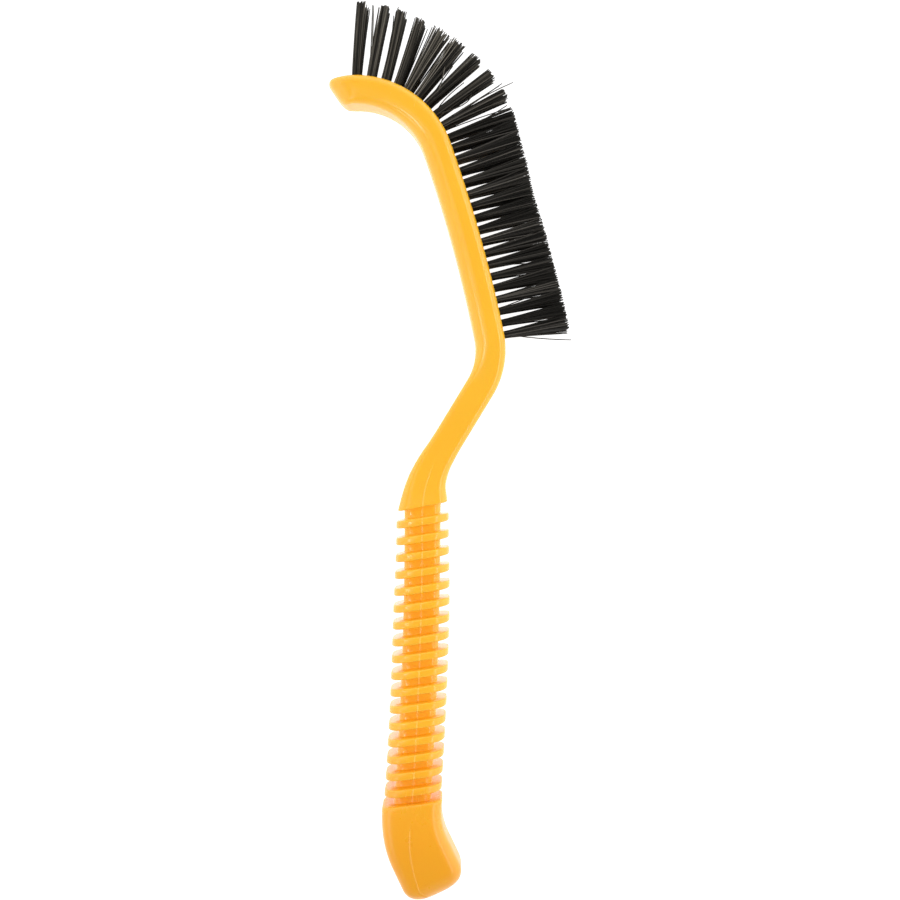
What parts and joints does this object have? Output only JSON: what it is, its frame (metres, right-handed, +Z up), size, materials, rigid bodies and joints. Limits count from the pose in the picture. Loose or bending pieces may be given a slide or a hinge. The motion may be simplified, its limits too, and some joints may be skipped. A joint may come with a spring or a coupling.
{
  "type": "tire brush",
  "caption": "Long-handled scrubbing brush: a ribbed grip and cranked neck carry a curled head with rows of stiff bristle tufts along its outer face, for tires and wheels",
  "frame": {"origin": "middle of the bounding box, on the surface that the brush lies on", "axes": "+Y runs from the butt to the head, the straight bristles point to +X, and +Z is up out of the side that the picture shows"},
  "size_m": [0.0808, 0.3008, 0.0191],
  "materials": {
    "handle_plastic": "satin gloss",
    "bristle_nylon": "satin",
    "anchor_wire": "drawn wire"
  },
  "bodies": {
    "root": {"handle": "handle_plastic", "toe_bristles": "bristle_nylon", "bend_bristles": "bristle_nylon", "middle_bristles": "bristle_nylon", "heel_bristles": "bristle_nylon", "anchor_left_01": "anchor_wire", "anchor_left_02": "anchor_wire", "anchor_left_03": "anchor_wire", "anchor_left_04": "anchor_wire", "anchor_left_05": "anchor_wire", "anchor_left_06": "anchor_wire", "anchor_left_07": "anchor_wire", "anchor_left_08": "anchor_wire", "anchor_left_09": "anchor_wire", "anchor_left_10": "anchor_wire", "anchor_left_11": "anchor_wire", "anchor_left_12": "anchor_wire", "anchor_left_13": "anchor_wire", "anchor_left_14": "anchor_wire", "anchor_left_15": "anchor_wire", "anchor_left_16": "anchor_wire", "anchor_left_17": "anchor_wire", "anchor_left_18": "anchor_wire", "anchor_left_19": "anchor_wire", "anchor_left_20": "anchor_wire", "anchor_left_21": "anchor_wire", "anchor_left_22": "anchor_wire", "anchor_left_23": "anchor_wire", "anchor_left_24": "anchor_wire", "anchor_left_25": "anchor_wire", "anchor_left_26": "anchor_wire", "anchor_left_27": "anchor_wire", "anchor_right_01": "anchor_wire", "anchor_right_02": "anchor_wire", "anchor_right_03": "anchor_wire", "anchor_right_04": "anchor_wire", "anchor_right_05": "anchor_wire", "anchor_right_06": "anchor_wire", "anchor_right_07": "anchor_wire", "anchor_right_08": "anchor_wire", "anchor_right_09": "anchor_wire", "anchor_right_10": "anchor_wire", "anchor_right_11": "anchor_wire", "anchor_right_12": "anchor_wire", "anchor_right_13": "anchor_wire", "anchor_right_14": "anchor_wire", "anchor_right_15": "anchor_wire", "anchor_right_16": "anchor_wire", "anchor_right_17": "anchor_wire", "anchor_right_18": "anchor_wire", "anchor_right_19": "anchor_wire", "anchor_right_20": "anchor_wire", "anchor_right_21": "anchor_wire", "anchor_right_22": "anchor_wire", "anchor_right_23": "anchor_wire", "anchor_right_24": "anchor_wire", "anchor_right_25": "anchor_wire", "anchor_right_26": "anchor_wire", "anchor_right_27": "anchor_wire"}
  },
  "joints": []
}
